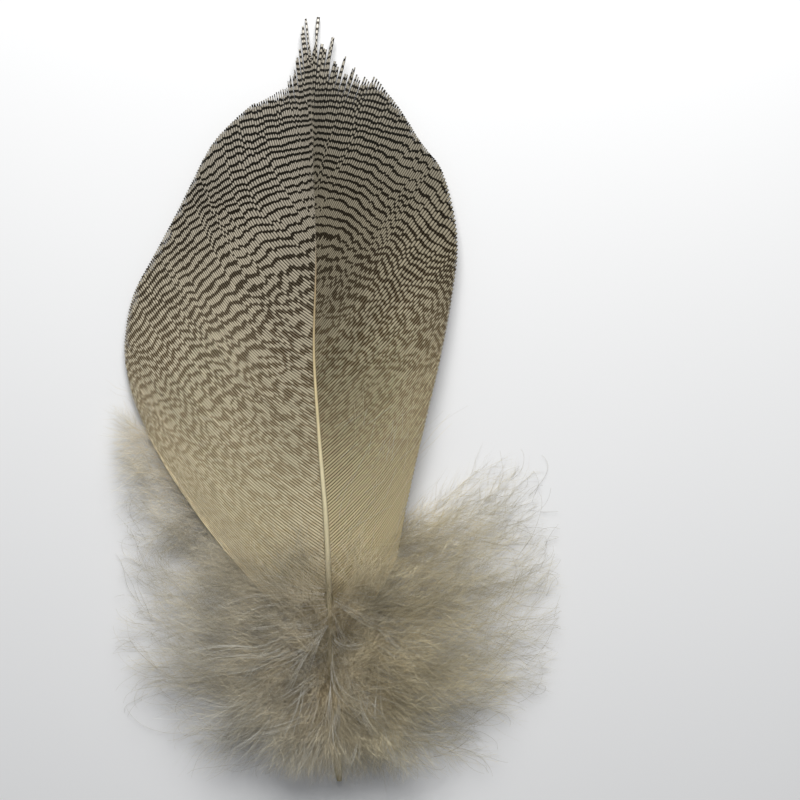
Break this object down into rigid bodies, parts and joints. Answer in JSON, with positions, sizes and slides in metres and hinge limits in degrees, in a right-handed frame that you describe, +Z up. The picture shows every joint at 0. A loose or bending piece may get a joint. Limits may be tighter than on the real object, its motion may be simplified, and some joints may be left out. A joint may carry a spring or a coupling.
{
  "type": "duck flank feather",
  "caption": "Barred grey flank feather of a duck with its down and quill, lying on its hollow side.",
  "frame": {"origin": "middle of the feather's outline, seen from above, on the surface that it lies on", "axes": "+Y towards the feather's tip, +Z up, away from the surface, on the outer side of the vane"},
  "size_m": [0.0578, 0.0922, 0.0073],
  "materials": {
    "vane": "dull barred keratin, warm grey with dark brown bars",
    "shaft": "smooth cream keratin, slightly glossy",
    "down": "soft grey-beige down"
  },
  "bodies": {
    "root": {"feather": "vane"}
  },
  "joints": []
}
